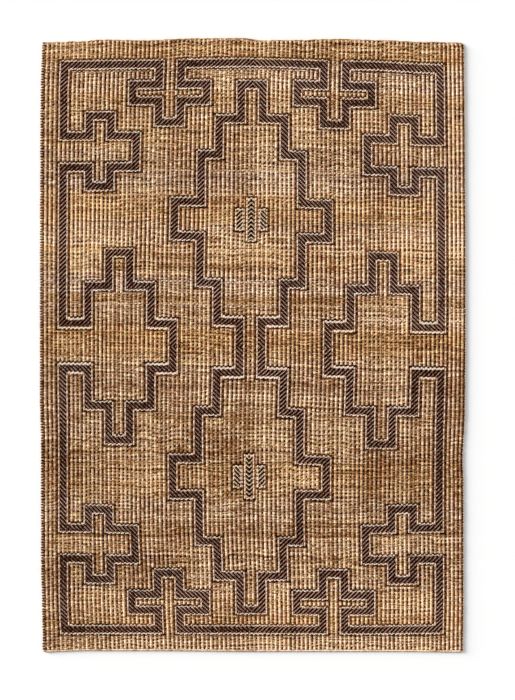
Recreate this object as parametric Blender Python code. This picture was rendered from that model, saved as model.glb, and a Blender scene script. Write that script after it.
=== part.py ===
"""Jute rug, 160 x 230 cm: one flat woven cloth whose dark warp makes ribs along its length.

The cloth lies flat on the floor. Its top is ribbed, its rim is rounded, and its four edges
wander a little, as hand-finished jute does. X runs across the rug, Y along it, Z up.
"""

import math

import bmesh
import bpy

# Driving sizes, in metres.
WIDTH = 1.600
LENGTH = 2.308
THICKNESS = 0.008
GROOVE_PITCH = 0.01625
MIDDLE_GROOVE = -0.0058
GROOVES_LEFT = 48
GROOVES_RIGHT = 49
GROOVE_DEPTH = 0.0018
RIM_HEIGHT = 0.0035
RIM_ROUND = 0.009
RIM_STEPS = (0.0, 0.003, 0.007)
ROWS_BETWEEN_RIMS = 13
CORNER_REACH = 0.060
SHARP_ANGLE = math.radians(50)

# Jute as the eye averages it: golden straw, dull and dry.
JUTE_COLOUR = (0.52, 0.36, 0.20, 1.0)
JUTE_ROUGHNESS = 0.9

# How far each edge falls short of a straight one.
# Columns: place along the edge, -1 to 1 towards +Y or +X; shortfall in metres.
LEFT_EDGE = (
    (-1.00, 0.0110),
    (-0.96, 0.0102),
    (-0.67, 0.0045),
    (-0.31, 0.0045),
    (-0.18, 0.0000),
    (0.31, 0.0000),
    (0.70, 0.0019),
    (0.86, 0.0038),
    (1.00, 0.0094),
)
RIGHT_EDGE = (
    (-1.00, 0.0098),
    (-0.83, 0.0083),
    (-0.45, 0.0083),
    (-0.37, 0.0109),
    (-0.18, 0.0026),
    (0.05, 0.0000),
    (0.31, 0.0000),
    (0.64, 0.0026),
    (1.00, 0.0060),
)
FRONT_EDGE = (
    (-1.00, 0.0000),
    (-0.91, 0.0030),
    (-0.81, 0.0056),
    (-0.48, 0.0056),
    (0.00, 0.0026),
    (0.69, 0.0026),
    (1.00, 0.0000),
)
BACK_EDGE = (
    (-1.00, 0.0151),
    (-0.82, 0.0113),
    (-0.72, 0.0056),
    (-0.53, 0.0075),
    (-0.25, 0.0000),
    (-0.06, 0.0000),
    (0.03, 0.0075),
    (0.17, 0.0075),
    (0.39, 0.0030),
    (0.60, 0.0075),
    (0.79, 0.0139),
    (1.00, 0.0169),
)

# Corner radii. Columns: side in X, end in Y, radius in metres.
CORNERS = (
    (-1, -1, 0.008),
    (1, -1, 0.005),
    (-1, 1, 0.006),
    (1, 1, 0.015),
)


def clear_scene():
    """Remove every object that the file opened with."""
    for old in list(bpy.data.objects):
        bpy.data.objects.remove(old, do_unlink=True)


def shortfall(edge, place):
    """Shortfall of an edge at a place from -1 to 1, eased from row to row of its table."""
    for (start, low), (end, high) in zip(edge, edge[1:]):
        if place <= end:
            part = max(0.0, (place - start) / (end - start))
            ease = part * part * (3.0 - 2.0 * part)
            return low + (high - low) * ease
    return edge[-1][1]


def corner_inset(side, end, distance):
    """How far a rounded corner draws the side in, at a distance from the rug's end."""
    for corner_side, corner_end, radius in CORNERS:
        if (corner_side, corner_end) == (side, end) and distance < radius:
            return radius - math.sqrt(radius ** 2 - (radius - distance) ** 2)
    return 0.0


def across_stations():
    """Places of the mesh's columns: rim steps, then every groove and the crest after it."""
    half = WIDTH / 2
    rim = [half - step for step in RIM_STEPS]
    steps = range(-2 * GROOVES_LEFT, 2 * GROOVES_RIGHT + 1)
    ribs = [MIDDLE_GROOVE + step * GROOVE_PITCH / 2 for step in steps]
    return [-place for place in rim] + ribs + rim[::-1]


def along_stations():
    """Places of the mesh's rows: rim steps at both ends and even rows between."""
    half = LENGTH / 2
    rim = [half - step for step in RIM_STEPS]
    inner = half - RIM_ROUND
    steps = range(ROWS_BETWEEN_RIMS + 1)
    rows = [-inner + 2 * inner * step / ROWS_BETWEEN_RIMS for step in steps]
    return [-place for place in rim] + rows + rim[::-1]


def rim_height(distance):
    """Height of the rounded rim at a distance in from the edge."""
    part = min(distance / RIM_ROUND, 1.0)
    bulge = math.sqrt(1.0 - (1.0 - part) ** 2)
    return RIM_HEIGHT + (THICKNESS - RIM_HEIGHT) * bulge


def rib_height(across):
    """Height of the ribbed top: a groove at each dark warp, a crest between two."""
    grooves_from_middle = (across - MIDDLE_GROOVE) / GROOVE_PITCH
    wave = (1.0 + math.cos(2 * math.pi * grooves_from_middle)) / 2
    return THICKNESS - GROOVE_DEPTH * wave


def cloth_point(across, along):
    """Place on the cloth's top for straight coordinates across and along it."""
    side = 1 if across > 0 else -1
    end = 1 if along > 0 else -1
    from_side = WIDTH / 2 - abs(across)
    from_end = LENGTH / 2 - abs(along)
    u = across / (WIDTH / 2)
    v = along / (LENGTH / 2)
    side_edge = RIGHT_EDGE if side > 0 else LEFT_EDGE
    end_edge = BACK_EDGE if end > 0 else FRONT_EDGE
    near_side = max(0.0, 1.0 - from_side / CORNER_REACH)
    inset = shortfall(side_edge, v) * abs(u)
    inset += corner_inset(side, end, from_end) * near_side
    x = across - side * inset
    y = along - end * shortfall(end_edge, u) * abs(v)
    z = min(rib_height(across), rim_height(from_side), rim_height(from_end))
    return x, y, z


def build_cloth_mesh():
    """The ribbed top as a grid, its rim taken straight down, and one flat face below."""
    columns = across_stations()
    rows = along_stations()
    across_cells = len(columns) - 1
    along_cells = len(rows) - 1
    shape = bmesh.new()
    bmesh.ops.create_grid(shape, x_segments=across_cells, y_segments=along_cells, size=0.5)
    for point in shape.verts:
        column = round((point.co.x + 0.5) * across_cells)
        row = round((point.co.y + 0.5) * along_cells)
        point.co = cloth_point(columns[column], rows[row])
    rim = [edge for edge in shape.edges if edge.is_boundary]
    skirt = bmesh.ops.extrude_edge_only(shape, edges=rim)["geom"]
    for point in skirt:
        if isinstance(point, bmesh.types.BMVert):
            point.co.z = 0.0
    foot = [edge for edge in skirt if isinstance(edge, bmesh.types.BMEdge)]
    bmesh.ops.contextual_create(shape, geom=foot)
    bmesh.ops.recalc_face_normals(shape, faces=shape.faces)
    mesh = bpy.data.meshes.new("jute_rug")
    shape.to_mesh(mesh)
    shape.free()
    mesh.shade_smooth()
    mesh.set_sharp_from_angle(angle=SHARP_ANGLE)
    return mesh


def jute_material():
    """Dry, rough natural jute."""
    material = bpy.data.materials.new("jute")
    material.use_nodes = True
    shader = material.node_tree.nodes["Principled BSDF"]
    shader.inputs["Base Color"].default_value = JUTE_COLOUR
    shader.inputs["Roughness"].default_value = JUTE_ROUGHNESS
    shader.inputs["Metallic"].default_value = 0.0
    return material


def build_rug():
    """The rug: one cloth, lying flat."""
    parts = bpy.data.collections.new("jute_rug_parts")
    bpy.context.scene.collection.children.link(parts)
    rug = bpy.data.objects.new("jute_rug", build_cloth_mesh())
    rug.data.materials.append(jute_material())
    parts.objects.link(rug)


clear_scene()
build_rug()
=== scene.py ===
import math

import bpy
import numpy as np
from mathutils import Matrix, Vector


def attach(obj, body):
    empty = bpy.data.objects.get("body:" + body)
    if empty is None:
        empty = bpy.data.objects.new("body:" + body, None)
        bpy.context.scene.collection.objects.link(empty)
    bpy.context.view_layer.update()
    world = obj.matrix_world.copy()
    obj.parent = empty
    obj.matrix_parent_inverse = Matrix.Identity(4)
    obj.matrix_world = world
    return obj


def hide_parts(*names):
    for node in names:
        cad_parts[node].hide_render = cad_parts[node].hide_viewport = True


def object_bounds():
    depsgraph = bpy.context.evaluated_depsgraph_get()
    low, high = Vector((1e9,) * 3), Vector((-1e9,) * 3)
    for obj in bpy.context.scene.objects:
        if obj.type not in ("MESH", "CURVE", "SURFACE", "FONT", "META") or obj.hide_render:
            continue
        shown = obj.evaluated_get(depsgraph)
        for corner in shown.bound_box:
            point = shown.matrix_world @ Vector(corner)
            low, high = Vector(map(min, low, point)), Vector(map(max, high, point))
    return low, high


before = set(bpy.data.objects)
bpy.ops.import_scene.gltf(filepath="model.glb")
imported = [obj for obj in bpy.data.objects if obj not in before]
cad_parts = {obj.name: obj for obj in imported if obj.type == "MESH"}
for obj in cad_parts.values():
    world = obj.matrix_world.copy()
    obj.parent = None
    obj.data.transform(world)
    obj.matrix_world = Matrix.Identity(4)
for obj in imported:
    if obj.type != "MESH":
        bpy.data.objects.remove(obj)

cad_low, cad_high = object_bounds()

# The ground cloth is the inside of the weave: jute warp and weft, beaten close together.
# It is woven in one piece on a hand loom, so its selvedges and its ends wander a little.
# It shows only between the yarns on top, and below as plain stripes. Its brown is darker than
# the jute: painted shade for the gaps between the yarns on top.
half_width = (cad_high.x - cad_low.x) / 2
half_length = (cad_high.y - cad_low.y) / 2
thickness = cad_high.z

# Places on the cloth are counted as a weaver counts them, from the middle of the design:
# ribs to the right, four warp ends to a rib, and picks of weft towards the back.
ends_in_rib = 4
rib_pitch = 0.016206
pick_pitch = 0.004051
middle_rib_x = -0.0058
middle_pick_y = -0.0068
left_rib = -48.6
right_rib = 49.3
front_pick = -283.0
back_pick = 285.5
millimetre = 0.001

# How far each edge falls short of a straight one.
# Columns: place along the edge, -1 to 1 towards the back or the right; shortfall in metres.
left_edge = (
    (-1.00, 0.0110), (-0.96, 0.0102), (-0.67, 0.0045), (-0.31, 0.0045), (-0.18, 0.0000),
    (0.31, 0.0000), (0.70, 0.0019), (0.86, 0.0038), (1.00, 0.0094),
)
right_edge = (
    (-1.00, 0.0098), (-0.83, 0.0083), (-0.45, 0.0083), (-0.37, 0.0109), (-0.18, 0.0026),
    (0.05, 0.0000), (0.31, 0.0000), (0.64, 0.0026), (1.00, 0.0060),
)
front_edge = (
    (-1.00, 0.0000), (-0.91, 0.0030), (-0.81, 0.0056), (-0.48, 0.0056),
    (0.00, 0.0026), (0.69, 0.0026), (1.00, 0.0000),
)
back_edge = (
    (-1.00, 0.0151), (-0.82, 0.0113), (-0.72, 0.0056), (-0.53, 0.0075), (-0.25, 0.0000),
    (-0.06, 0.0000), (0.03, 0.0075), (0.17, 0.0075), (0.39, 0.0030), (0.60, 0.0075),
    (0.79, 0.0139), (1.00, 0.0169),
)

# Corner radii. Columns: side in X, end in Y, radius in metres.
corners = (
    (-1, -1, 0.008),
    (1, -1, 0.005),
    (-1, 1, 0.006),
    (1, 1, 0.015),
)

# How far the ribs stray to the right, in millimetres, where the loom let them.
# Columns: pick; stray at each of rib_stray_ribs.
rib_stray_ribs = (-43, -25, -10, 0, 10, 25, 43)
rib_stray = (
    (-285, 6, 3, 2, 3, 2, 2, 0),
    (-230, -3, -4, -3, -2, 0, 2, 3),
    (-150, -4, -13, -11, -8, -5, -1, 1),
    (-80, -4, -14, -14, -9, -5, 1, 3),
    (-10, -6, -15, -9, -4, 1, 7, 9),
    (60, -6, -13, -8, -3, 2, 8, 10),
    (150, -4, -7, -3, 0, 3, 7, 9),
    (230, -1, -1, 1, 2, 3, 6, 6),
    (285, 6, 5, 6, 7, 8, 8, 3),
)

# How far the picks stray towards the back, in millimetres.
# Columns: pick; stray at each of pick_stray_ribs.
pick_stray_ribs = (-43.5, -25, 0, 25, 43.5)
pick_stray = (
    (-263, 2, 2, 2, 0, 3),
    (-240, -2, -3, -6, -8, -6),
    (-212, -2, -5, -3, -8, -6),
    (-150, -5, -11, -9, -12, -5),
    (-60, 5, 5, 0, -15, -20),
    (0, 4, 2, -1, -9, -14),
    (60, 2, 2, -5, -11, -15),
    (150, -2, 1, -3, -14, -22),
    (212, -2, -2, -2, -12, -22),
    (263, -6, -3, 4, -8, -21),
)


def ease(part):
    """Smooth start and stop between 0 and 1."""
    part = np.clip(part, 0.0, 1.0)
    return part * part * (3.0 - 2.0 * part)


def between(stops, place):
    """The stops before and after each place, and how far it is on from one to the other."""
    stops = np.asarray(stops, float)
    after = np.clip(np.searchsorted(stops, place), 1, len(stops) - 1)
    before = after - 1
    return before, after, ease((place - stops[before]) / (stops[after] - stops[before]))


def stray(table, table_ribs, ribs, picks):
    """Stray of points of the cloth, in metres, from one of the two tables of stray."""
    rows = np.asarray(table, float)
    front, back, part = between(rows[:, 0], picks)
    along = rows[front, 1:] * (1.0 - part[:, None]) + rows[back, 1:] * part[:, None]
    left, right, part = between(table_ribs, ribs)
    points = np.arange(len(ribs))
    return (along[points, left] * (1.0 - part) + along[points, right] * part) * millimetre


def shortfall(edge, place):
    """How far an edge falls short at each place along it."""
    stops, short = np.asarray(edge, float).T
    before, after, part = between(stops, place)
    return short[before] * (1.0 - part) + short[after] * part


def corner_inset(side, end, from_end):
    """How far a rounded corner draws a selvedge in, at a distance from the cloth's end."""
    inset = np.zeros_like(from_end)
    for corner_side, corner_end, radius in corners:
        if (corner_side, corner_end) == (side, end):
            reach = np.clip(radius - from_end, 0.0, radius)
            inset = radius - np.sqrt(radius ** 2 - reach ** 2)
    return inset


def drawn_to_edge(value, place, stop, edge, edge_value):
    """A value that goes evenly to edge_value where place lies between stop and edge."""
    part = (place - stop) / (edge - stop)
    return np.where(part > 0.0, value + (edge_value - value) * part, value)


def lie(ribs, picks):
    """Where points of the cloth lie on the floor: x and y of each rib and pick."""
    ribs = np.asarray(ribs, float).ravel()
    picks = np.asarray(picks, float).ravel()
    u = 2.0 * (ribs - left_rib) / (right_rib - left_rib) - 1.0
    v = 2.0 * (picks - front_pick) / (back_pick - front_pick) - 1.0

    left_stop, right_stop = rib_stray_ribs[0], rib_stray_ribs[-1]
    inner_ribs = np.clip(ribs, left_stop, right_stop)
    x = middle_rib_x + inner_ribs * rib_pitch + stray(rib_stray, rib_stray_ribs, inner_ribs, picks)
    from_front = (picks - front_pick) * pick_pitch
    from_back = (back_pick - picks) * pick_pitch
    left_x = -half_width + shortfall(left_edge, v)
    left_x += corner_inset(-1, -1, from_front) + corner_inset(-1, 1, from_back)
    right_x = half_width - shortfall(right_edge, v)
    right_x -= corner_inset(1, -1, from_front) + corner_inset(1, 1, from_back)
    x = drawn_to_edge(x, ribs, left_stop, left_rib, left_x)
    x = drawn_to_edge(x, ribs, right_stop, right_rib, right_x)

    front_stop, back_stop = pick_stray[0][0], pick_stray[-1][0]
    inner_picks = np.clip(picks, front_stop, back_stop)
    y = middle_pick_y + inner_picks * pick_pitch + stray(pick_stray, pick_stray_ribs, ribs, inner_picks)
    y = drawn_to_edge(y, picks, front_stop, front_pick, -half_length + shortfall(front_edge, u))
    y = drawn_to_edge(y, picks, back_stop, back_pick, half_length - shortfall(back_edge, u))
    return x, y


def show(name, mesh, material):
    """Put a mesh into the scene as a piece of the rug, with its finish."""
    mesh.materials.append(material)
    mesh.shade_smooth()
    piece = bpy.data.objects.new(name, mesh)
    bpy.context.scene.collection.objects.link(piece)
    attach(piece, "root")
    return piece


def dyed(red, green, blue):
    """A colour as the eye sees it, 0 to 255, as the linear light that a shader takes."""
    seen = np.array([red, green, blue]) / 255.0
    linear = np.where(seen <= 0.04045, seen / 12.92, ((seen + 0.055) / 1.055) ** 2.4)
    return (*linear, 1.0)


def node(tree, kind, feeds=(), **settings):
    """Add a shader node. feeds gives its inputs numbers, or what comes out of other nodes."""
    made = tree.nodes.new(kind)
    for setting, value in settings.items():
        setattr(made, setting, value)
    for name, value in dict(feeds).items():
        if isinstance(value, bpy.types.NodeSocket):
            tree.links.new(value, made.inputs[name])
        else:
            made.inputs[name].default_value = value
    return made


dry_gloss = 0.06
relief_strength = 0.7


def blank_material(name, roughness):
    """A dry, matt material with its shader, ready for its colour and relief."""
    material = bpy.data.materials.new(name)
    material.use_nodes = True
    tree = material.node_tree
    shader = tree.nodes["Principled BSDF"]
    shader.inputs["Roughness"].default_value = roughness
    shader.inputs["Specular IOR Level"].default_value = dry_gloss
    return material, tree, shader


def colour_steps(tree, factor, places, colours):
    """Colours from the first to the last, as factor goes through their places."""
    ramp = node(tree, "ShaderNodeValToRGB", {"Fac": factor})
    elements = ramp.color_ramp.elements
    while len(elements) < len(places):
        elements.new(0.5)
    for number, (place, colour) in enumerate(zip(places, colours)):
        elements[number].position = place
        elements[number].color = dyed(*colour)
    return ramp.outputs["Color"]


def stretched(tree, value, low, high, new_low=0.0, new_high=1.0):
    """A value that lies between low and high, taken to between new_low and new_high."""
    feeds = {"Value": value, "From Min": low, "From Max": high, "To Min": new_low, "To Max": new_high}
    return node(tree, "ShaderNodeMapRange", feeds).outputs["Result"]


def fibre_noise(tree, scale, detail):
    """Fine unevenness of spun jute, over the cloth's own places."""
    places = node(tree, "ShaderNodeTexCoord").outputs["Object"]
    feeds = {"Vector": places, "Scale": scale, "Detail": detail}
    return node(tree, "ShaderNodeTexNoise", feeds).outputs["Fac"]


def raise_relief(tree, shader, height, depth):
    """Fine relief on the shader, from a height and how deep it goes, in metres."""
    feeds = {"Height": height, "Strength": relief_strength, "Distance": depth}
    relief = node(tree, "ShaderNodeBump", feeds).outputs["Normal"]
    tree.links.new(relief, shader.inputs["Normal"])


# Stripes of the ground cloth, from light warp to dark, darkened as painted shade between the yarns.
stripe_places = (0.0, 0.45, 0.8)
painted_shade_stripe_colours = ((150, 104, 56), (96, 58, 22), (42, 16, 0))


def ground_cloth_material():
    """Inside of the weave, striped by its dark warp, its brown painted shade between the yarns."""
    material, tree, shader = blank_material("ground_cloth_painted_shade_jute", roughness=0.95)
    rib_count = node(tree, "ShaderNodeAttribute", attribute_name="rib").outputs["Fac"]
    turns = node(tree, "ShaderNodeMath", {0: rib_count, 1: 2 * math.pi}, operation="MULTIPLY")
    wave = node(tree, "ShaderNodeMath", {0: turns.outputs["Value"]}, operation="COSINE")
    level = stretched(tree, wave.outputs["Value"], low=-1.0, high=1.0)
    stripes = colour_steps(tree, level, stripe_places, painted_shade_stripe_colours)
    tree.links.new(stripes, shader.inputs["Base Color"])
    raise_relief(tree, shader, fibre_noise(tree, scale=420.0, detail=3.0), depth=0.0008)
    return material


# The body of the cloth under the yarns on top. Its heights are in metres, its gap at the
# selvedges in ribs and its fold at the front end in picks. The fold reaches a little past the
# front rim, so its dark brown shows there as a painted shadow line under the hem.
body_top = 0.0050
body_groove = 0.0010
body_rise = 0.0010
body_edge_gap = 0.10
front_fold_shadow = 0.5
picks_in_body_step = 20


def ground_cloth():
    """The body of the cloth: ribbed above and below, closed round its edges."""
    ribs = np.arange(math.ceil(left_rib * ends_in_rib), right_rib * ends_in_rib) / ends_in_rib
    ribs = np.concatenate([[left_rib + body_edge_gap], ribs, [right_rib - body_edge_gap]])
    ribs = np.unique(ribs.clip(left_rib + body_edge_gap, right_rib - body_edge_gap))
    steps = round((back_pick - front_pick) / picks_in_body_step)
    picks = np.linspace(front_pick - front_fold_shadow, back_pick, steps + 1)
    rib_grid, pick_grid = np.meshgrid(ribs, picks)
    x, y = lie(rib_grid, pick_grid)
    wave = (1.0 + np.cos(2 * math.pi * rib_grid.ravel())) / 2
    top = np.stack([x, y, body_top - body_groove * wave], axis=-1)
    bottom = np.stack([x, y, body_rise * wave], axis=-1)
    rows, columns = rib_grid.shape
    count = rows * columns
    numbers = np.arange(count).reshape(rows, columns)
    cells = np.stack([numbers[:-1, :-1], numbers[:-1, 1:], numbers[1:, 1:], numbers[1:, :-1]], axis=-1)
    cells = cells.reshape(-1, 4)
    rim = np.concatenate([numbers[0], numbers[1:, -1], numbers[-1, -2::-1], numbers[-2:0:-1, 0]])
    after = np.roll(rim, -1)
    skirt = np.stack([rim, rim + count, after + count, after], axis=-1)[:, ::-1]
    faces = np.concatenate([cells, (cells + count)[:, ::-1], skirt])
    mesh = bpy.data.meshes.new("ground_cloth")
    mesh.from_pydata(np.concatenate([top, bottom]).tolist(), [], faces.tolist())
    layer = mesh.attributes.new("rib", "FLOAT", "POINT")
    layer.data.foreach_set("value", np.tile(rib_grid.ravel(), 2).astype(np.float32))
    return show("ground_cloth", mesh, ground_cloth_material())


ground = ground_cloth()
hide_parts("jute_rug")

# The dark bands and small figures are near-black aubergine jute, woven in as the cloth grows.
# In a band the yarn floats over three picks and goes under one, one pick further on at each
# end, so slanted lines show, which lean to the middle of the rug.
twill_foot = 0.0034
twill_crown = 0.0078
twill_repeat = 4
stroke_picks = 2

# The design was first drawn on squared paper, one square for each end and pick. A stepped band
# runs round the margin, another makes the medallion, and two small figures stand in it.
plain, thin_line, pale_line, dark_twill, lining, chevron, slanted, hem = range(8)
first_end = math.floor(left_rib * ends_in_rib)
last_end = math.ceil(right_rib * ends_in_rib)
first_pick = math.ceil(front_pick)
last_pick = math.floor(back_pick)
draft = np.full((last_end - first_end, last_pick - first_pick + 1), plain)

# Half widths of the nested parts of a band. Columns: part; ends each side where it runs
# along the ribs; picks each side where it runs across them; more picks near the middle of the
# rug, where the weft was beaten less.
band_parts = (
    (thin_line, 7, 5.5, 1),
    (pale_line, 5, 4.5, 1),
    (dark_twill, 3, 3.5, 0),
)
deeper_within_picks = 30

# A quarter of each route, which is the same in all four. Columns: rib, pick.
margin_band = (
    (16.5, 263), (16.5, 244), (10.5, 244), (10.5, 229), (16.5, 229), (16.5, 209), (21.5, 209),
    (21.5, 229), (27.5, 229), (27.5, 244), (21.5, 244), (21.5, 263), (43.5, 263), (43.5, 196),
    (37.5, 196), (37.5, 215), (32.5, 215), (32.5, 196), (26.5, 196), (26.5, 167), (32.5, 167),
    (32.5, 149), (37.5, 149), (37.5, 167), (43.5, 167), (43.5, 21), (37.5, 21), (37.5, 56),
    (32.5, 56), (32.5, 87), (27.5, 87), (27.5, 56), (22.5, 56), (22.5, 21), (17.5, 21),
)
medallion_band = (
    (2.5, 243), (2.5, 212), (7.5, 212), (7.5, 179), (11.5, 179), (11.5, 135), (17.5, 135),
    (17.5, 103), (11.5, 103), (11.5, 60), (7.5, 60), (7.5, 24), (2.5, 24),
)

# The boxes of a small figure: a tall one with a stack of chevrons, between two short ones with
# slanted strokes. Columns: filling; picks from its middle to its thin line; first and last end
# of its thin line, of its pale lining and of its filling.
figure_pick = 119
figure_boxes = (
    (slanted, 11, -17, -5, -15, -6, -14, -8),
    (slanted, 11, 5, 17, 6, 15, 8, 14),
    (chevron, 21, -6, 6, -5, 5, -3, 3),
)
thin_line_picks = 1
filling_inset_picks = 3
hem_picks = 1.5


def fill_squares(part, low_end, high_end, low_pick, high_pick):
    """Fill squares of the draft: ends from low to high, picks whose middle lies between."""
    start = math.ceil(low_pick) - first_pick
    stop = math.floor(high_pick) - first_pick + 1
    draft[low_end - first_end:high_end - first_end, start:stop] = part


def draw_band(quarter):
    """Draw a band round all four quarters, each part over the one before."""
    back = list(quarter)
    route = back + [(rib, -pick) for rib, pick in reversed(back)]
    route += [(-rib, -pick) for rib, pick in back]
    route += [(-rib, pick) for rib, pick in reversed(back)]
    for part, ends, picks, deeper in band_parts:
        for start, stop in zip(route, route[1:] + route[:1]):
            ribs = sorted((start[0], stop[0]))
            rows = sorted((start[1], stop[1]))
            low_end = round(ribs[0] * ends_in_rib) - ends
            high_end = round(ribs[1] * ends_in_rib) + ends
            low_pick = rows[0] - picks - deeper * (abs(rows[0]) < deeper_within_picks)
            high_pick = rows[1] + picks + deeper * (abs(rows[1]) < deeper_within_picks)
            fill_squares(part, low_end, high_end, low_pick, high_pick)


def draw_figure(middle):
    """Draw the boxes of a figure: thin lines, a pale lining and a dark filling."""
    for filling, reach, low_thin, high_thin, low_pale, high_pale, low_end, high_end in figure_boxes:
        fill_squares(thin_line, low_thin, high_thin, middle - reach, middle + reach)
        pale_reach = reach - thin_line_picks
        fill_squares(lining, low_pale, high_pale, middle - pale_reach, middle + pale_reach)
        dark_reach = reach - filling_inset_picks
        fill_squares(filling, low_end, high_end, middle - dark_reach, middle + dark_reach)


fill_squares(hem, first_end, last_end, front_pick, front_pick + hem_picks)
draw_band(margin_band)
draw_band(medallion_band)
draw_figure(-figure_pick)
draw_figure(figure_pick)


def runs_along(cells):
    """The unbroken runs of true cells along the picks: row of each, first and last pick."""
    padded = np.pad(cells.astype(np.int8), ((0, 0), (1, 1)))
    change = np.diff(padded, axis=1)
    row, start = np.nonzero(change == 1)
    _, stop = np.nonzero(change == -1)
    return row, start + first_pick, stop + first_pick - 1


# No yarn lies further from the middle than this many ribs and picks.
most_ribs = 60.0
most_picks = 300.0
spare_knots = 3


def grow_knots(ribs, picks, ribs_between, picks_between, seed):
    """Slow random change over the cloth, from -1 to 1, eased between knots so far apart."""
    chance = np.random.default_rng(seed)
    rows = int(2 * most_ribs / ribs_between) + spare_knots
    columns = int(2 * most_picks / picks_between) + spare_knots
    knots = chance.uniform(-1.0, 1.0, (rows, columns))
    across = (np.asarray(ribs) + most_ribs) / ribs_between
    along = (np.asarray(picks) + most_picks) / picks_between
    row = np.floor(across).astype(int)
    column = np.floor(along).astype(int)
    part_across = ease(across - row)
    part_along = ease(along - column)
    low = knots[row, column] * (1 - part_along) + knots[row, column + 1] * part_along
    high = knots[row + 1, column] * (1 - part_along) + knots[row + 1, column + 1] * part_along
    return low * (1 - part_across) + high * part_across


# How a yarn bulges where it shows. Columns: place from one end of it to the other, height.
long_bulge = np.array([(-1.0, 0.0), (-0.5, 0.94), (0.5, 0.94), (1.0, 0.0)])
short_bulge = np.array([(-1.0, 0.0), (0.0, 1.0), (1.0, 0.0)])

# How uneven hand-spun yarn lies: spread of its place, in ends and in picks, the least and most
# of its own width and length, and how much higher or lower it stands, in metres.
yarn_stray_ends = 0.07
yarn_stray_picks = 0.10
least_size = 0.92
most_size = 1.08
height_change = 0.0003


def yarn_bulges(low_end, high_end, low_pick, high_pick, foot, crown, across, along, seed):
    """Points of many yarns, each bulging over its own ends and picks, as uneven as spun jute."""
    chance = np.random.default_rng(seed)
    count = len(low_end)
    middle_end = (low_end + high_end) / 2 + chance.normal(0.0, yarn_stray_ends, count)
    middle_pick = (low_pick + high_pick) / 2 + chance.normal(0.0, yarn_stray_picks, count)
    half_ends = (high_end - low_end) / 2 * chance.uniform(least_size, most_size, count)
    half_picks = (high_pick - low_pick) / 2 * chance.uniform(least_size, most_size, count)
    heights = crown + chance.uniform(-height_change, height_change, count)
    ends = middle_end[:, None, None] + half_ends[:, None, None] * across[:, 0]
    picks = middle_pick[:, None, None] + half_picks[:, None, None] * along[:, None, 0]
    z = foot + (heights[:, None, None] - foot) * (along[:, None, 1] * across[:, 1])
    ends, picks = np.broadcast_arrays(ends, picks)
    ribs = np.clip(ends / ends_in_rib, left_rib, right_rib)
    x, y = lie(ribs, np.clip(picks, front_pick, back_pick))
    return np.stack([x.reshape(z.shape), y.reshape(z.shape), z], axis=-1)


def mesh_from_grids(name, points, facts):
    """One mesh of many small grids: points has the axes grid, row, column and xyz.

    facts holds a name and one number for each grid, which the finish reads."""
    grids, rows, columns, _ = points.shape
    numbers = np.arange(grids * rows * columns).reshape(grids, rows, columns)
    near, far = numbers[:, :-1], numbers[:, 1:]
    quads = (near[:, :, :-1], near[:, :, 1:], far[:, :, 1:], far[:, :, :-1])
    faces = np.stack(quads, axis=-1).reshape(-1, 4)
    mesh = bpy.data.meshes.new(name)
    mesh.vertices.add(numbers.size)
    mesh.vertices.foreach_set("co", points.astype(np.float32).ravel())
    mesh.loops.add(faces.size)
    mesh.loops.foreach_set("vertex_index", faces.astype(np.int32).ravel())
    mesh.polygons.add(len(faces))
    mesh.polygons.foreach_set("loop_start", np.arange(0, faces.size, 4, dtype=np.int32))
    mesh.update(calc_edges=True)
    for fact, values in facts.items():
        layer = mesh.attributes.new(fact, "FLOAT", "POINT")
        layer.data.foreach_set("value", np.repeat(values, rows * columns).astype(np.float32))
    return mesh


def lay_flat_map(mesh):
    """Give a mesh the plain map of the rug seen from above."""
    places = np.empty(len(mesh.vertices) * 3, np.float32)
    mesh.vertices.foreach_get("co", places)
    places = places.reshape(-1, 3)
    corner_points = np.empty(len(mesh.loops), np.int32)
    mesh.loops.foreach_get("vertex_index", corner_points)
    across = (places[corner_points, 0] + half_width) / (2 * half_width)
    along = (places[corner_points, 1] + half_length) / (2 * half_length)
    layer = mesh.uv_layers.new(name="OFBake")
    layer.data.foreach_set("uv", np.stack([across, along], axis=-1).ravel())


# Yarn from other lots, dyed and spun on other days, crosses the cloth in bands.
# Columns: pick; half height in picks; more golden, or rosier below zero; lighter, or darker
# below zero; side, -1 for the left half, 1 for the right half and 0 for both.
lots = (
    (274, 8, 0.30, -0.02, 0), (263, 5, 0.00, 0.08, 1), (250, 10, -0.15, 0.07, 1),
    (250, 8, 0.05, -0.04, -1), (232, 6, 0.25, -0.06, 0), (212, 9, 0.10, 0.05, 0),
    (205, 22, 0.05, -0.06, -1), (201, 5, 0.00, 0.09, 1), (193, 5, 0.15, -0.04, 0),
    (156, 6, -0.25, 0.02, 0), (130, 12, 0.25, 0.11, 0), (118, 9, 0.12, 0.04, -1),
    (106, 12, 0.00, 0.13, 0), (104, 8, 0.00, 0.05, 1), (88, 9, -0.05, 0.09, 1),
    (86, 8, 0.22, 0.11, 0), (72, 4, 0.12, 0.00, 0), (60, 22, 0.05, 0.08, 1),
    (58, 7, -0.25, 0.06, 0), (44, 3, 0.25, -0.04, 0), (24, 9, 0.00, 0.20, 1),
    (6, 12, 0.35, 0.02, 0), (-10, 5, 0.12, -0.07, -1), (-24, 5, 0.05, 0.08, 1),
    (-32, 13, -0.06, -0.04, 0), (-70, 14, 0.00, -0.06, 1), (-104, 8, 0.10, -0.11, 0),
    (-124, 14, 0.20, 0.01, 0), (-145, 8, -0.10, -0.03, 0), (-168, 6, 0.08, -0.10, 0),
    (-184, 5, 0.08, -0.02, 0), (-196, 4, 0.05, -0.08, 0), (-214, 6, 0.05, -0.02, 0),
    (-236, 9, 0.10, 0.05, 0), (-256, 8, 0.25, 0.00, 0), (-277, 4, 0.05, 0.12, 0),
)
lot_light = 1.4
lot_fade = 1.6
lot_side_ribs = 20.0

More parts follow.
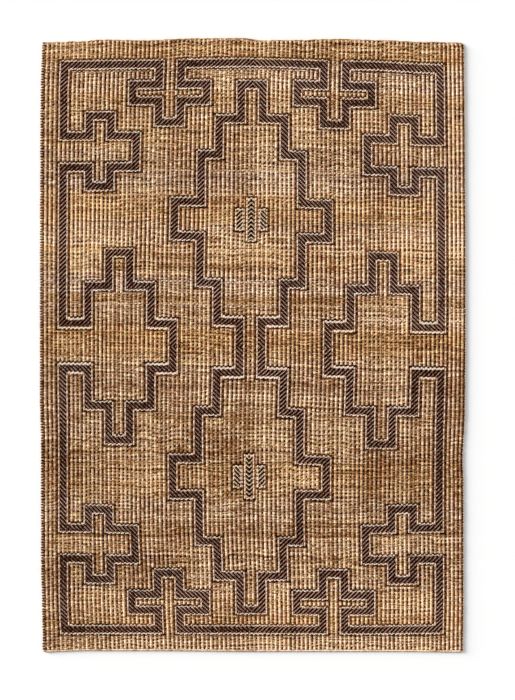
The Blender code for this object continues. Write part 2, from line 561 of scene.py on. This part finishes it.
# Slow changes of the yarn over the cloth. Columns: amount; ribs and picks between its knots;
# seed, or what is added to the seed of the piece.
slow_lot = (0.16, 22.0, 4.0, 0)
slow_light = (0.05, 8.0, 12.0, 1)
broad_light = (
    (0.22, 18.0, 45.0, 56),
    (0.10, 60.0, 50.0, 54),
)

# How much the light and the lot of the yarn change from rib to rib, from pick to pick, from
# yarn to yarn, and in streaks along the weft, where each half rib is like the one beside it.
usual_lot = 0.42
usual_light = 0.5
light_by_rib = 0.10
light_by_pick = 0.15
light_by_yarn = 0.03
light_by_streak = 0.05
lot_by_streak = 0.10
streak_likeness = 0.93
rib_seed = 5
pick_seed = 6
half_ribs = np.arange(math.floor(2 * left_rib), math.ceil(2 * right_rib) + 1)


def slow_change(change, ribs, picks, piece_seed=0):
    """One of the slow changes of the yarn, at some ribs and picks of the cloth."""
    amount, ribs_between, picks_between, seed = change
    return amount * grow_knots(ribs, picks, ribs_between, picks_between, piece_seed + seed)


def uneven(likeness, seed):
    """Random unevenness around 0 with a spread of 1, for each half rib and each pick.

    Each half rib is partly like the one before it, as the same weft runs through both."""
    chance = np.random.default_rng(seed)
    change = chance.normal(0.0, 1.0, (len(half_ribs), draft.shape[1]))
    own = math.sqrt(1.0 - likeness ** 2)
    for column in range(1, len(half_ribs)):
        change[column] = likeness * change[column - 1] + own * change[column]
    return change


def uneven_at(change, ribs, picks):
    """The unevenness at some ribs and picks of the cloth."""
    column = np.round(2 * np.asarray(ribs)).astype(int) - half_ribs[0]
    row = np.round(np.asarray(picks)).astype(int) - first_pick
    return change[column.clip(0, change.shape[0] - 1), row.clip(0, change.shape[1] - 1)]


def yarn_facts(low_end, high_end, low_pick, high_pick, seed, lighter=0.0):
    """What the finish reads of each yarn.

    lot goes from 0, rose-cream, to 1, golden brown; light from 0, darkest, to 1, lightest."""
    ribs = (low_end + high_end) / 2 / ends_in_rib
    picks = (low_pick + high_pick) / 2
    lot = usual_lot + slow_change(slow_lot, ribs, picks, seed)
    light = usual_light + slow_change(slow_light, ribs, picks, seed) + lighter
    for change in broad_light:
        light = light + slow_change(change, ribs, picks)
    for pick, reach, golden, paler, side in lots:
        near = ease(lot_fade - np.abs(picks - pick) / reach)
        beside = 1.0 if side == 0 else ease(0.5 + side * ribs / lot_side_ribs)
        lot = lot + golden * near * beside
        light = light + lot_light * paler * near * beside
    by_rib = uneven_at(uneven(0.0, rib_seed), ribs, np.zeros_like(ribs))
    by_pick = uneven_at(uneven(0.0, pick_seed), np.zeros_like(ribs), picks)
    light = light + light_by_rib * by_rib + light_by_pick * by_pick
    light = light + light_by_streak * uneven_at(uneven(streak_likeness, seed + 2), ribs, picks)
    lot = lot + lot_by_streak * uneven_at(uneven(streak_likeness, seed + 3), ribs, picks)
    chance = np.random.default_rng(seed + 4)
    light = light + chance.normal(0.0, light_by_yarn, len(ribs))
    return {"lot": np.clip(lot, 0.0, 1.0), "light": np.clip(light, 0.0, 1.0)}


# The finish of spun jute. Each yarn's own light, its fibres and its streaks are added, in these
# shares, and the sum goes from the deep colours to the high ones.
fibre_share = 0.5
streak_share = 2.2
deepest_sum = 1.32
highest_sum = 2.32
streak_scale = (60.0, 350.0, 40.0)
least_hue = 0.485
most_hue = 0.515
least_rough = 0.78
most_rough = 0.98

# The sockets of a colour mix: its two colours and what comes out.
mix_deep = 6
mix_high = 7
mix_out = 2


def streaks(tree):
    """Unevenness that follows the weft: long across the cloth and one pick high."""
    places = node(tree, "ShaderNodeTexCoord").outputs["Object"]
    stretch = node(tree, "ShaderNodeMapping", {"Vector": places, "Scale": streak_scale})
    feeds = {"Vector": stretch.outputs["Vector"], "Scale": 1.0, "Detail": 1.0}
    return node(tree, "ShaderNodeTexNoise", feeds).outputs["Fac"]


def share_added(tree, value, share, base):
    """A share of a value, added to a base."""
    feeds = {0: value, 1: share, 2: base}
    return node(tree, "ShaderNodeMath", feeds, operation="MULTIPLY_ADD").outputs["Value"]


def jute_yarn(name, deep, high, lot_places=(0.0, 1.0)):
    """Spun jute: deep and high are its colours, by lot, where it is darkest and lightest."""
    material, tree, shader = blank_material(name, roughness=0.9)
    lot = node(tree, "ShaderNodeAttribute", attribute_name="lot").outputs["Fac"]
    light = node(tree, "ShaderNodeAttribute", attribute_name="light").outputs["Fac"]
    fibres = fibre_noise(tree, scale=380.0, detail=3.0)
    total = share_added(tree, fibres, fibre_share, light)
    total = share_added(tree, streaks(tree), streak_share, total)
    feeds = {
        "Factor": stretched(tree, total, deepest_sum, highest_sum),
        mix_deep: colour_steps(tree, lot, lot_places, deep),
        mix_high: colour_steps(tree, lot, lot_places, high),
    }
    colour = node(tree, "ShaderNodeMix", feeds, data_type="RGBA").outputs[mix_out]
    drift = fibre_noise(tree, scale=70.0, detail=2.0)
    hue = stretched(tree, drift, low=0.25, high=0.75, new_low=least_hue, new_high=most_hue)
    tint = node(tree, "ShaderNodeHueSaturation", {"Hue": hue, "Color": colour})
    tree.links.new(tint.outputs["Color"], shader.inputs["Base Color"])
    rough = stretched(tree, fibres, 0.0, 1.0, least_rough, most_rough)
    tree.links.new(rough, shader.inputs["Roughness"])
    raise_relief(tree, shader, fibre_noise(tree, scale=900.0, detail=2.0), depth=0.0006)
    return material


def show_yarns(name, spans, foot, crown, material, seed, lighter=0.0,
               across=short_bulge, along=long_bulge):
    """Many yarns of one kind as one piece. spans is low end, high end, low pick, high pick."""
    points = yarn_bulges(*spans, foot, crown, across, along, seed)
    mesh = mesh_from_grids(name, points, yarn_facts(*spans, seed, lighter))
    lay_flat_map(mesh)
    show(name, mesh, material)


def spans_of_runs(cells, more_ends, more_picks):
    """Spans of the yarns that cover runs of cells, wider and longer by some on each side."""
    row, start, stop = runs_along(cells)
    low_end = row + first_end - more_ends
    high_end = low_end + 1 + 2 * more_ends
    return np.stack([low_end, high_end, start - 0.5 - more_picks, stop + 0.5 + more_picks])


ends_of_draft = np.arange(first_end, last_end)[:, None]
picks_of_draft = np.arange(first_pick, last_pick + 1)[None, :]
behind_middle = picks_of_draft >= 0
lean = np.where((ends_of_draft < 0) & behind_middle, -1, 1)
lean = np.where((ends_of_draft > 0) & ~behind_middle, -1, lean)
twill_step = (picks_of_draft + lean * ends_of_draft) % twill_repeat
from_middle = np.abs(ends_of_draft + 0.5).astype(int)
toward_middle = np.where(picks_of_draft > 0, 1, -1)
chevron_step = (picks_of_draft * toward_middle + from_middle) % twill_repeat
twill_cells = (draft == dark_twill) & (twill_step != 0)
under_cells = (draft == dark_twill) & ~twill_cells
figure_cells = (draft == slanted) & (twill_step < stroke_picks)
figure_cells |= (draft == chevron) & (chevron_step < stroke_picks)
figure_unders = np.isin(draft, (slanted, chevron)) & ~figure_cells

aubergine = jute_yarn(
    "aubergine_jute", deep=((8, 0, 0), (10, 0, 0)), high=((52, 12, 4), (54, 12, 0)),
)
float_spans = (
    spans_of_runs(twill_cells, more_ends=0.2, more_picks=0.0),
    spans_of_runs(figure_cells, more_ends=0.05, more_picks=1.2),
)
show_yarns(
    "twill_floats", np.concatenate(float_spans, axis=1), twill_foot, twill_crown,
    material=aubergine, seed=10,
)

# The paler yarn under the twill is mauve-grey jute, which shows for one pick between two floats.
# Where a band crosses the ribs the yarn is pulled deeper, and its colour is painted darker there as
# painted shade.
under_drop = 0.0004
under_painted_shade_across = -0.06
under_lighter_along = 0.03
under_slow_light = (0.3, 9.0, 30.0, 25)
under_light_spread = 0.14
under_seed = 26

mauve = jute_yarn(
    "mauve_grey_jute", deep=((96, 54, 46), (96, 50, 32)), high=((248, 210, 196), (244, 196, 162)),
)
twill_on_left = np.roll(draft, ends_in_rib, axis=0) == dark_twill
twill_on_right = np.roll(draft, -ends_in_rib, axis=0) == dark_twill
under_row, under_start, _ = runs_along(under_cells)
crosses_ribs = (twill_on_left & twill_on_right)[under_row, under_start - first_pick]
under_lighter = np.where(crosses_ribs, under_painted_shade_across, under_lighter_along)
under_ribs = (under_row + first_end) / ends_in_rib
under_lighter += slow_change(under_slow_light, under_ribs, under_start)
under_chance = np.random.default_rng(under_seed)
under_lighter += under_chance.normal(0.0, under_light_spread, len(under_lighter))
show_yarns(
    "twill_unders", spans_of_runs(under_cells, more_ends=0.15, more_picks=0.4),
    twill_foot, twill_crown - under_drop, material=mauve, seed=20,
    lighter=under_lighter, along=short_bulge,
)

# The grounds of the small figures are cream jute: it lines each box inside its thin dark line,
# and comes up between the dark strokes and chevrons.

# The lines of the design lie over pairs of ends. Where one crosses the ribs, in no more picks
# than this, it waves by a part of a pick from rib to rib. Every second piece of a line along a
# rib is longer, and a piece over a single end is wider and darker than its own kind.
crossing_picks = 2
line_wave = 0.42
longer_turn = 0.25
single_wider = 0.25
single_darker = 0.35


def spans_of_pairs(cells, longest, along_ends, along_picks, across_ends, across_picks,
                   by_turns=(0.0, 0.0), crossing_lighter=0.0):
    """Spans over pairs of ends, odd end first, and how much lighter each is: by turns on a rib.

    Each is wider by some ends and longer by some picks, along a rib and across the ribs."""
    odd_row = (1 - first_end) % 2
    pairs = (cells.shape[0] - odd_row) // 2
    halves = cells[odd_row:odd_row + 2 * pairs].reshape(pairs, 2, cells.shape[1])
    pair_ends = np.arange(pairs) * 2 + odd_row + first_end
    row, start, stop = runs_along(halves.any(axis=1))
    spans = []
    lighter = []
    for pair, first, last in zip(row, start, stop):
        taken = halves[pair, :, first - first_pick:last - first_pick + 1].any(axis=1)
        left = pair_ends[pair] + (0 if taken[0] else 1)
        right = pair_ends[pair] + (2 if taken[1] else 1)
        length = last - first + 1
        on_rib = pair_ends[pair] % ends_in_rib == ends_in_rib - 1
        if length <= crossing_picks:
            wave = line_wave if on_rib else -line_wave
            low = first - 0.5 + wave - across_picks
            high = last + 0.5 + wave + across_picks
            spans.append((left - across_ends, right + across_ends, low, high))
            lighter.append(crossing_lighter)
            continue
        pieces = max(1, round(length / longest))
        joins = np.arange(pieces + 1.0)
        joins[1:-1:2] += longer_turn
        joins = first - 0.5 + joins * length / pieces
        single = right - left == 1
        wider = along_ends + single_wider * single
        for number in range(pieces):
            low = joins[number] - along_picks
            high = joins[number + 1] + along_picks
            spans.append((left - wider, right + wider, low, high))
            lighter.append(by_turns[number % 2] - single_darker * single)
    return np.array(spans, float).T, np.array(lighter)


cream = jute_yarn(
    "cream_jute", deep=((186, 138, 102), (176, 126, 82)), high=((255, 230, 204), (255, 218, 174)),
)
between_spans = spans_of_runs(figure_unders, more_ends=0.15, more_picks=0.1)
lining_spans, _ = spans_of_pairs(
    draft == lining, longest=3.5, along_ends=-0.05, along_picks=0.15,
    across_ends=0.4, across_picks=0.3,
)
show_yarns(
    "figure_grounds", np.concatenate([between_spans, lining_spans], axis=1),
    twill_foot, twill_crown, material=cream, seed=35, lighter=0.5,
    across=long_bulge, along=short_bulge,
)

# The pale lines that edge each band are rose-cream jute: warp that floats by turns where the
# line runs along the ribs, and two picks of weft, a little wavy, where it crosses them.
line_foot = 0.0034

pale = jute_yarn(
    "rose_cream_jute",
    deep=((190, 142, 114), (178, 126, 88)),
    high=((255, 238, 222), (255, 222, 186)),
)
pale_spans, pale_lighter = spans_of_pairs(
    draft == pale_line, longest=3.5, along_ends=-0.1, along_picks=0.15,
    across_ends=0.65, across_picks=0.52, by_turns=(0.45, -0.1), crossing_lighter=0.5,
)
show_yarns(
    "pale_lines", pale_spans, line_foot, crown=0.0079, material=pale,
    seed=30, lighter=pale_lighter,
)

# The thin dark lines outside the pale ones are dark brown jute: single dark picks where they
# cross the ribs, and dark warp, by turns darker and lighter, where they run along them.
thin_dark = jute_yarn(
    "dark_brown_jute", deep=((14, 0, 0), (18, 0, 0)), high=((172, 106, 60), (176, 104, 44)),
)
thin_spans, thin_lighter = spans_of_pairs(
    draft == thin_line, longest=2.2, along_ends=-0.05, along_picks=0.0,
    across_ends=0.65, across_picks=1.0, by_turns=(-0.5, 0.35), crossing_lighter=-0.5,
)
show_yarns(
    "thin_dark_lines", thin_spans, line_foot, crown=0.0082, material=thin_dark,
    seed=40, lighter=thin_lighter,
)

# The dark warp of the plain weave: brown jute that comes up on every rib over a few picks and
# goes under the natural weft. It is hand-spun and hand-beaten, so each float is a little longer,
# shorter, lighter or darker than the next.
yarn_foot = 0.0032
dark_ribs = np.arange(math.ceil(left_rib), math.floor(right_rib) + 1)
light_ribs = dark_ribs[:-1] + 0.5

# One float and the gap after it make a cell, so many picks high.
cell_count = 200
least_cell = 1.9
most_cell = 3.9
cell_seed = 57
picks_before_first = 4.0
cell_heights = np.random.default_rng(cell_seed).uniform(least_cell, most_cell, cell_count)
cell_middles = first_pick - picks_before_first + np.cumsum(cell_heights) - cell_heights / 2
shortest_float = 0.7

# Slow changes of where the floats lie and how long they are, in picks. Columns: amount; ribs
# and picks between its knots; seed. Near the selvedges the floats are longer.
slow_place = (2.4, 4.0, 16.0, 55)
slow_length = (1.0, 9.0, 26.0, 67)
near_selvedge_ribs = 44.0
near_selvedge_longer = 0.6
cell_likeness = 0.88

left_plain = draft == plain
plain_places = np.arange(draft.shape[1])
plain_low = np.maximum.accumulate(np.where(left_plain, -1, plain_places), axis=1)
plain_high = np.where(left_plain, draft.shape[1], plain_places)[:, ::-1]
plain_high = np.minimum.accumulate(plain_high, axis=1)[:, ::-1]

# Parts of the length of a float where the draft is read. The last that is plain seats it.
seats_tried = (0.85, 0.15, 0.5)


def cut_to_plain(end, low_pick, high_pick):
    """Spans over pairs of ends, cut to the squares of the draft that are left plain."""
    row = end - first_end
    seat = np.full(len(end), -1)
    for part in seats_tried:
        place = np.round(low_pick + part * (high_pick - low_pick)).astype(int) - first_pick
        place = place.clip(0, draft.shape[1] - 1)
        seat = np.where(left_plain[row, place] | left_plain[row + 1, place], place, seat)
    kept = seat >= 0
    end, row, seat = end[kept], row[kept], seat[kept]
    low_pick, high_pick = low_pick[kept], high_pick[kept]
    for one in (row, row + 1):
        limit = plain_low[one, seat] + first_pick + 0.5
        low_pick = np.where(left_plain[one, seat], np.maximum(low_pick, limit), low_pick)
        limit = plain_high[one, seat] + first_pick - 0.5
        high_pick = np.where(left_plain[one, seat], np.minimum(high_pick, limit), high_pick)
    low_end = np.where(left_plain[row, seat], end, end + 1.0)
    high_end = np.where(left_plain[row + 1, seat], end + 2.0, end + 1.0)
    kept = high_pick - low_pick > shortest_float
    return np.stack([low_end, high_end, low_pick, high_pick])[:, kept]


def plain_floats(ribs, offset, shift, share, vary, drift, seed):
    """Spans of one float on each rib for each cell of picks, as uneven as they were beaten.

    offset is its place in the cell and share its length, in cells; shift and vary are the
    spread of both, in picks; drift is how far the length changes slowly over the cloth."""
    rib, cell = np.meshgrid(ribs, np.arange(cell_count), indexing="ij")
    rib = rib.ravel()
    height = cell_heights[cell.ravel()]
    middle = cell_middles[cell.ravel()] + offset * height
    middle = middle + slow_change(slow_place, rib, middle)
    size = share * height + vary * uneven_at(uneven(cell_likeness, seed + 5), rib, middle)
    longer = near_selvedge_longer * (np.abs(rib) > near_selvedge_ribs)
    size += drift * (slow_change(slow_length, rib, middle) + longer)
    size = np.clip(size, shortest_float, 2.0 * share * height) / 2.0
    middle = middle + shift * uneven_at(uneven(cell_likeness, seed + 6), rib, middle)
    end = np.round(rib * ends_in_rib - 1).astype(int)
    return cut_to_plain(end, middle - size, middle + size)


def widened(spans, left, right):
    """Spans made wider by some ends on the left and on the right."""
    low_end, high_end, low_pick, high_pick = spans
    return low_end - left, high_end + right, low_pick, high_pick


dark_warp = jute_yarn(
    "brown_warp_jute", deep=((20, 0, 0), (24, 0, 0)), high=((128, 65, 14), (132, 63, 2)),
)
dark_spans = plain_floats(dark_ribs, offset=0, shift=0.42, share=0.54, vary=0.42, drift=1.5, seed=60)
show_yarns(
    "dark_warp_dots", widened(dark_spans, left=0.15, right=0.15), yarn_foot, crown=0.0080,
    material=dark_warp, seed=60,
)

# The light stripes between the ribs are natural jute: warp floats, with beads of weft where the
# warp goes under. Where one yarn gives way to the next both only dip, as they lie close.
short_dip = np.array([(-1.0, 0.6), (0.0, 1.0), (1.0, 0.6)])

natural = jute_yarn(
    "natural_jute",
    deep=((140, 97, 65), (140, 90, 46), (130, 75, 26)),
    high=((255, 230, 207), (255, 222, 185), (252, 203, 144)),
    lot_places=(0.0, 0.45, 1.0),
)
light_spans = plain_floats(light_ribs, offset=0.5, shift=0.35, share=0.9, vary=0.42, drift=0.3, seed=70)
show_yarns(
    "light_warp_floats", widened(light_spans, left=0.28, right=0.58), yarn_foot, crown=0.0080,
    material=natural, seed=70, lighter=-0.02,
    across=long_bulge, along=short_dip,
)
bead_spans = plain_floats(light_ribs, offset=0, shift=0.35, share=0.72, vary=0.42, drift=0.3, seed=80)
show_yarns(
    "light_weft_beads", widened(bead_spans, left=0.37, right=0.66), yarn_foot, crown=0.0078,
    material=natural, seed=80, lighter=-0.15, along=short_dip,
)

# The weft over the dark warp is the same natural jute. Its colours are a darker, more golden
# copy of the natural ones: painted shade where it lies between two light stripes. It bulges over
# the rib in each gap between two dark floats.
painted_shade_and_brown_weft = jute_yarn(
    "painted_shade_and_brown_weft_jute",
    deep=((140, 95, 52), (136, 85, 30)),
    high=((255, 217, 166), (252, 201, 126)),
)
gap_spans = plain_floats(dark_ribs, offset=0.5, shift=0.3, share=0.62, vary=0.4, drift=-1.0, seed=90)
show_yarns(
    "weft_over_dark_warp", widened(gap_spans, left=0.22, right=0.22), yarn_foot, crown=0.0076,
    material=painted_shade_and_brown_weft, seed=90, along=short_bulge,
)

# Single picks of weft that stand out, of thicker jute from another lot: a brown pick shows
# where it crosses the light stripes, a pale one where it lies over the dark warp.
# Columns: pick; first and last rib that it is seen on.
brown_picks = (
    (269, -47, 48), (238, -16, 40), (221, -47, 10), (206, -16, 16), (203, -46, -18),
    (203, 17, 44), (190, -47, -15), (190, 16, 47), (173, -45, -14), (128, -18, 15),
    (123, -14, 45), (92, -47, 16), (44, -46, 20), (31, -16, 16), (11, -46, 14),
    (-24, -47, 8), (-62, -44, 44), (-97, -16, 20), (-109, -14, 14), (-161, -47, 46),
    (-173, -47, -8), (-173, 14, 48), (-203, -47, 44), (-235, -40, 48), (-250, -44, 46),
    (-257, -47, -12), (-269, -24, 46),
)
pale_picks = (
    (257, -47, 12), (227, -14, 16), (164, -47, 48), (141, -46, 12), (91, -14, 48), (61, -47, 12),
    (49, -47, -20), (40, -47, 46), (27, -12, 48), (-213, -46, 46), (-224, -16, 30),
)
odd_half_height = 0.7


def odd_pick_spans(odd_picks, stripes):
    """Spans of the odd picks of one kind, on the stripes where they show."""
    spans = []
    for pick, first_rib, last_rib in odd_picks:
        crossed = stripes[(stripes >= first_rib) & (stripes <= last_rib)]
        end = np.round(crossed * ends_in_rib - 1).astype(int)
        picks = np.full(len(end), float(pick))
        spans.append(cut_to_plain(end, picks - odd_half_height, picks + odd_half_height))
    return widened(np.concatenate(spans, axis=1), left=0.3, right=0.3)


# The brown picks take those painted-shade weft colours, darker still, for the brown of their lot.
show_yarns(
    "odd_brown_picks", odd_pick_spans(brown_picks, light_ribs), yarn_foot, crown=0.0086,
    material=painted_shade_and_brown_weft, seed=170, lighter=-0.3, across=long_bulge,
)
show_yarns(
    "odd_pale_picks", odd_pick_spans(pale_picks, dark_ribs), yarn_foot, crown=0.0083,
    material=natural, seed=180, across=long_bulge,
)

# The selvedges: at each side the weft turns back round the outermost warp, pick by pick, by
# turns dark and light, pulled close against its neighbour and never quite even.
loop_radius = 0.0034
loop_rise = 1.08
loop_points = 7
loop_drop = 0.0002
cloth_middle = thickness / 2 - loop_drop

# The tail of a loop on top of the cloth: parts of its length, and heights in loop radii.
tail_lengths = np.array([1.0, 0.8])
tail_heights = [0.3, 0.9]

# Picks that a loop takes, and how much it overlaps its neighbour; the thickness of a loop at
# its sides, in radii; and how it wanders, in radii and in picks.
loop_picks = 1.25
loop_overlap = 1.1
loop_side = 0.62
loop_slack = 0.35
loop_wander = (0.2, 50.0, 8.0, 58)
loop_stray_picks = 0.15


def loops_over_edge(edge, side, places, drawn_in, thin_side, on_top):
    """Points of loops that go from the top of the cloth round its edge to its foot.

    edge is a rib where places are picks, and a pick where they are ends, and side is -1 or 1.
    drawn_in is how far each loop lies in, and on_top its length on top, in loop radii."""
    turns = np.linspace(0.5 * math.pi, -0.5 * math.pi, loop_points)
    path_in = np.concatenate([1.0 + on_top * tail_lengths, 1.0 - np.cos(turns)])[:, None]
    path_up = np.concatenate([tail_heights, np.sin(turns)])[:, None]
    radius = loop_radius * (thin_side + (1.0 - thin_side) * long_bulge[:, 1])
    inward = side * (loop_radius * drawn_in[:, None, None] + radius * (path_in - 1.0))
    z = np.broadcast_to(cloth_middle + radius * path_up * loop_rise, inward.shape)
    places = np.broadcast_to(places, z.shape)
    edge_places = np.full(z.shape, edge)
    if edge in (left_rib, right_rib):
        x, y = lie(edge_places, np.clip(places, front_pick, back_pick))
        points = np.stack([x.reshape(z.shape) - inward, y.reshape(z.shape), z], axis=-1)
        return points[:, :, ::side]
    x, y = lie(np.clip(places / ends_in_rib, left_rib, right_rib), edge_places)
    points = np.stack([x.reshape(z.shape), y.reshape(z.shape) - inward, z], axis=-1)
    return points[:, :, ::-side]


def selvedge(name, edge_rib, side, material, offset, set_in, on_top, seed, lighter):
    """Every second loop of one selvedge. offset is the loop it starts at."""
    chance = np.random.default_rng(seed)
    starts = np.arange(first_pick + offset * loop_picks, last_pick, 2 * loop_picks)
    edge = np.full(len(starts), edge_rib)
    drawn_in = set_in + chance.uniform(0.0, loop_slack, len(starts))
    drawn_in += slow_change(loop_wander, edge, starts)
    reach = loop_picks / 2 * loop_overlap * long_bulge[:, 0]
    stray_picks = chance.normal(0.0, loop_stray_picks, len(starts))
    places = starts[:, None, None] + reach + stray_picks[:, None, None]
    points = loops_over_edge(edge_rib, side, places, drawn_in, loop_side, on_top)
    edge_ends = edge * ends_in_rib
    facts = yarn_facts(edge_ends, edge_ends, starts, starts + loop_picks, seed, lighter)
    show(name, mesh_from_grids(name, points, facts), material)


# On the left the low lamp lights the loops: the light ones are painted darker and the dark ones take
# near-black aubergine, as painted shade.
selvedge(
    "left_selvedge_dark", left_rib, side=-1, material=aubergine,
    offset=0, set_in=0.05, on_top=2.6, seed=100, lighter=0.0,
)
selvedge(
    "left_selvedge_light", left_rib, side=-1, material=natural,
    offset=1, set_in=0.5, on_top=2.0, seed=110, lighter=-0.15,
)
selvedge(
    "right_selvedge_dark", right_rib, side=1, material=aubergine,
    offset=1, set_in=1.3, on_top=0.6, seed=120, lighter=-0.1,
)
# On the right the loops face away from the lamp, so the light ones are painted lighter: painted light.
selvedge(
    "right_selvedge_light", right_rib, side=1, material=natural,
    offset=0, set_in=0.4, on_top=-0.3, seed=130, lighter=0.35,
)

# The ends: the warp is turned under and held by a last row of cream yarn, sewn over the edge
# stitch by stitch, so each end has a narrow rounded rim.
stitch_ends = 3
stitch_overlap = 1.3
stitch_side = 0.8
stitch_slack = 0.12


def end_rim(name, edge_pick, side, set_in, on_top, seed, lighter):
    """The stitches of one end."""
    chance = np.random.default_rng(seed)
    starts = np.arange(first_end + 1, last_end - 1, stitch_ends)
    edge = np.full(len(starts), edge_pick)
    drawn_in = set_in + chance.uniform(0.0, stitch_slack, len(starts))
    reach = stitch_ends / 2 * stitch_overlap * long_bulge[:, 0]
    places = starts[:, None, None] + stitch_ends / 2 + reach
    points = loops_over_edge(edge_pick, side, places, drawn_in, stitch_side, on_top)
    facts = yarn_facts(starts, starts + stitch_ends, edge, edge, seed, lighter)
    show(name, mesh_from_grids(name, points, facts), natural)


end_rim("front_rim", front_pick, side=-1, set_in=0.5, on_top=1.0, seed=140, lighter=0.05)
end_rim("back_rim", back_pick, side=1, set_in=0.65, on_top=0.3, seed=150, lighter=-0.1)

# The studio: the rug lies on a plain white floor beside a large soft lamp, low at its left and a
# little behind it, with a camera straight above it.
floor_size = 14.0
bpy.ops.mesh.primitive_plane_add(size=floor_size, location=(0.0, 0.0, 0.0))
floor = bpy.context.object
floor.name = "studio_floor"
floor_material, _, floor_shader = blank_material("studio_floor_white", roughness=0.9)
floor_shader.inputs["Base Color"].default_value = (0.92, 0.92, 0.92, 1.0)
floor.data.materials.append(floor_material)

lamp_data = bpy.data.lights.new("soft_lamp", "SUN")
lamp_data.energy = 6.75
lamp_data.angle = math.radians(34)
lamp_data.color = (1.0, 0.985, 0.96)
lamp = bpy.data.objects.new("soft_lamp", lamp_data)
lamp_height = math.radians(14.5)
lamp_bearing = math.radians(68)
lamp.rotation_euler = (math.pi / 2 - lamp_height, 0.0, lamp_bearing + math.pi)
bpy.context.scene.collection.objects.link(lamp)

surround = bpy.data.worlds.new("studio_surround")
surround.use_nodes = True
background = surround.node_tree.nodes["Background"]
background.inputs["Color"].default_value = (0.97, 0.985, 1.0, 1.0)
background.inputs["Strength"].default_value = 0.57
bpy.context.scene.world = surround

camera_data = bpy.data.cameras.new("overhead_camera")
camera_data.lens = 100.0
camera_data.sensor_width = 36.0
camera_x = 0.0167
camera_y = -0.0188
camera_distance = 7.311
camera = bpy.data.objects.new("overhead_camera", camera_data)
camera.location = (camera_x, camera_y, thickness + camera_distance)
bpy.context.scene.collection.objects.link(camera)
bpy.context.scene.camera = camera
bpy.context.scene.view_settings.view_transform = "Standard"
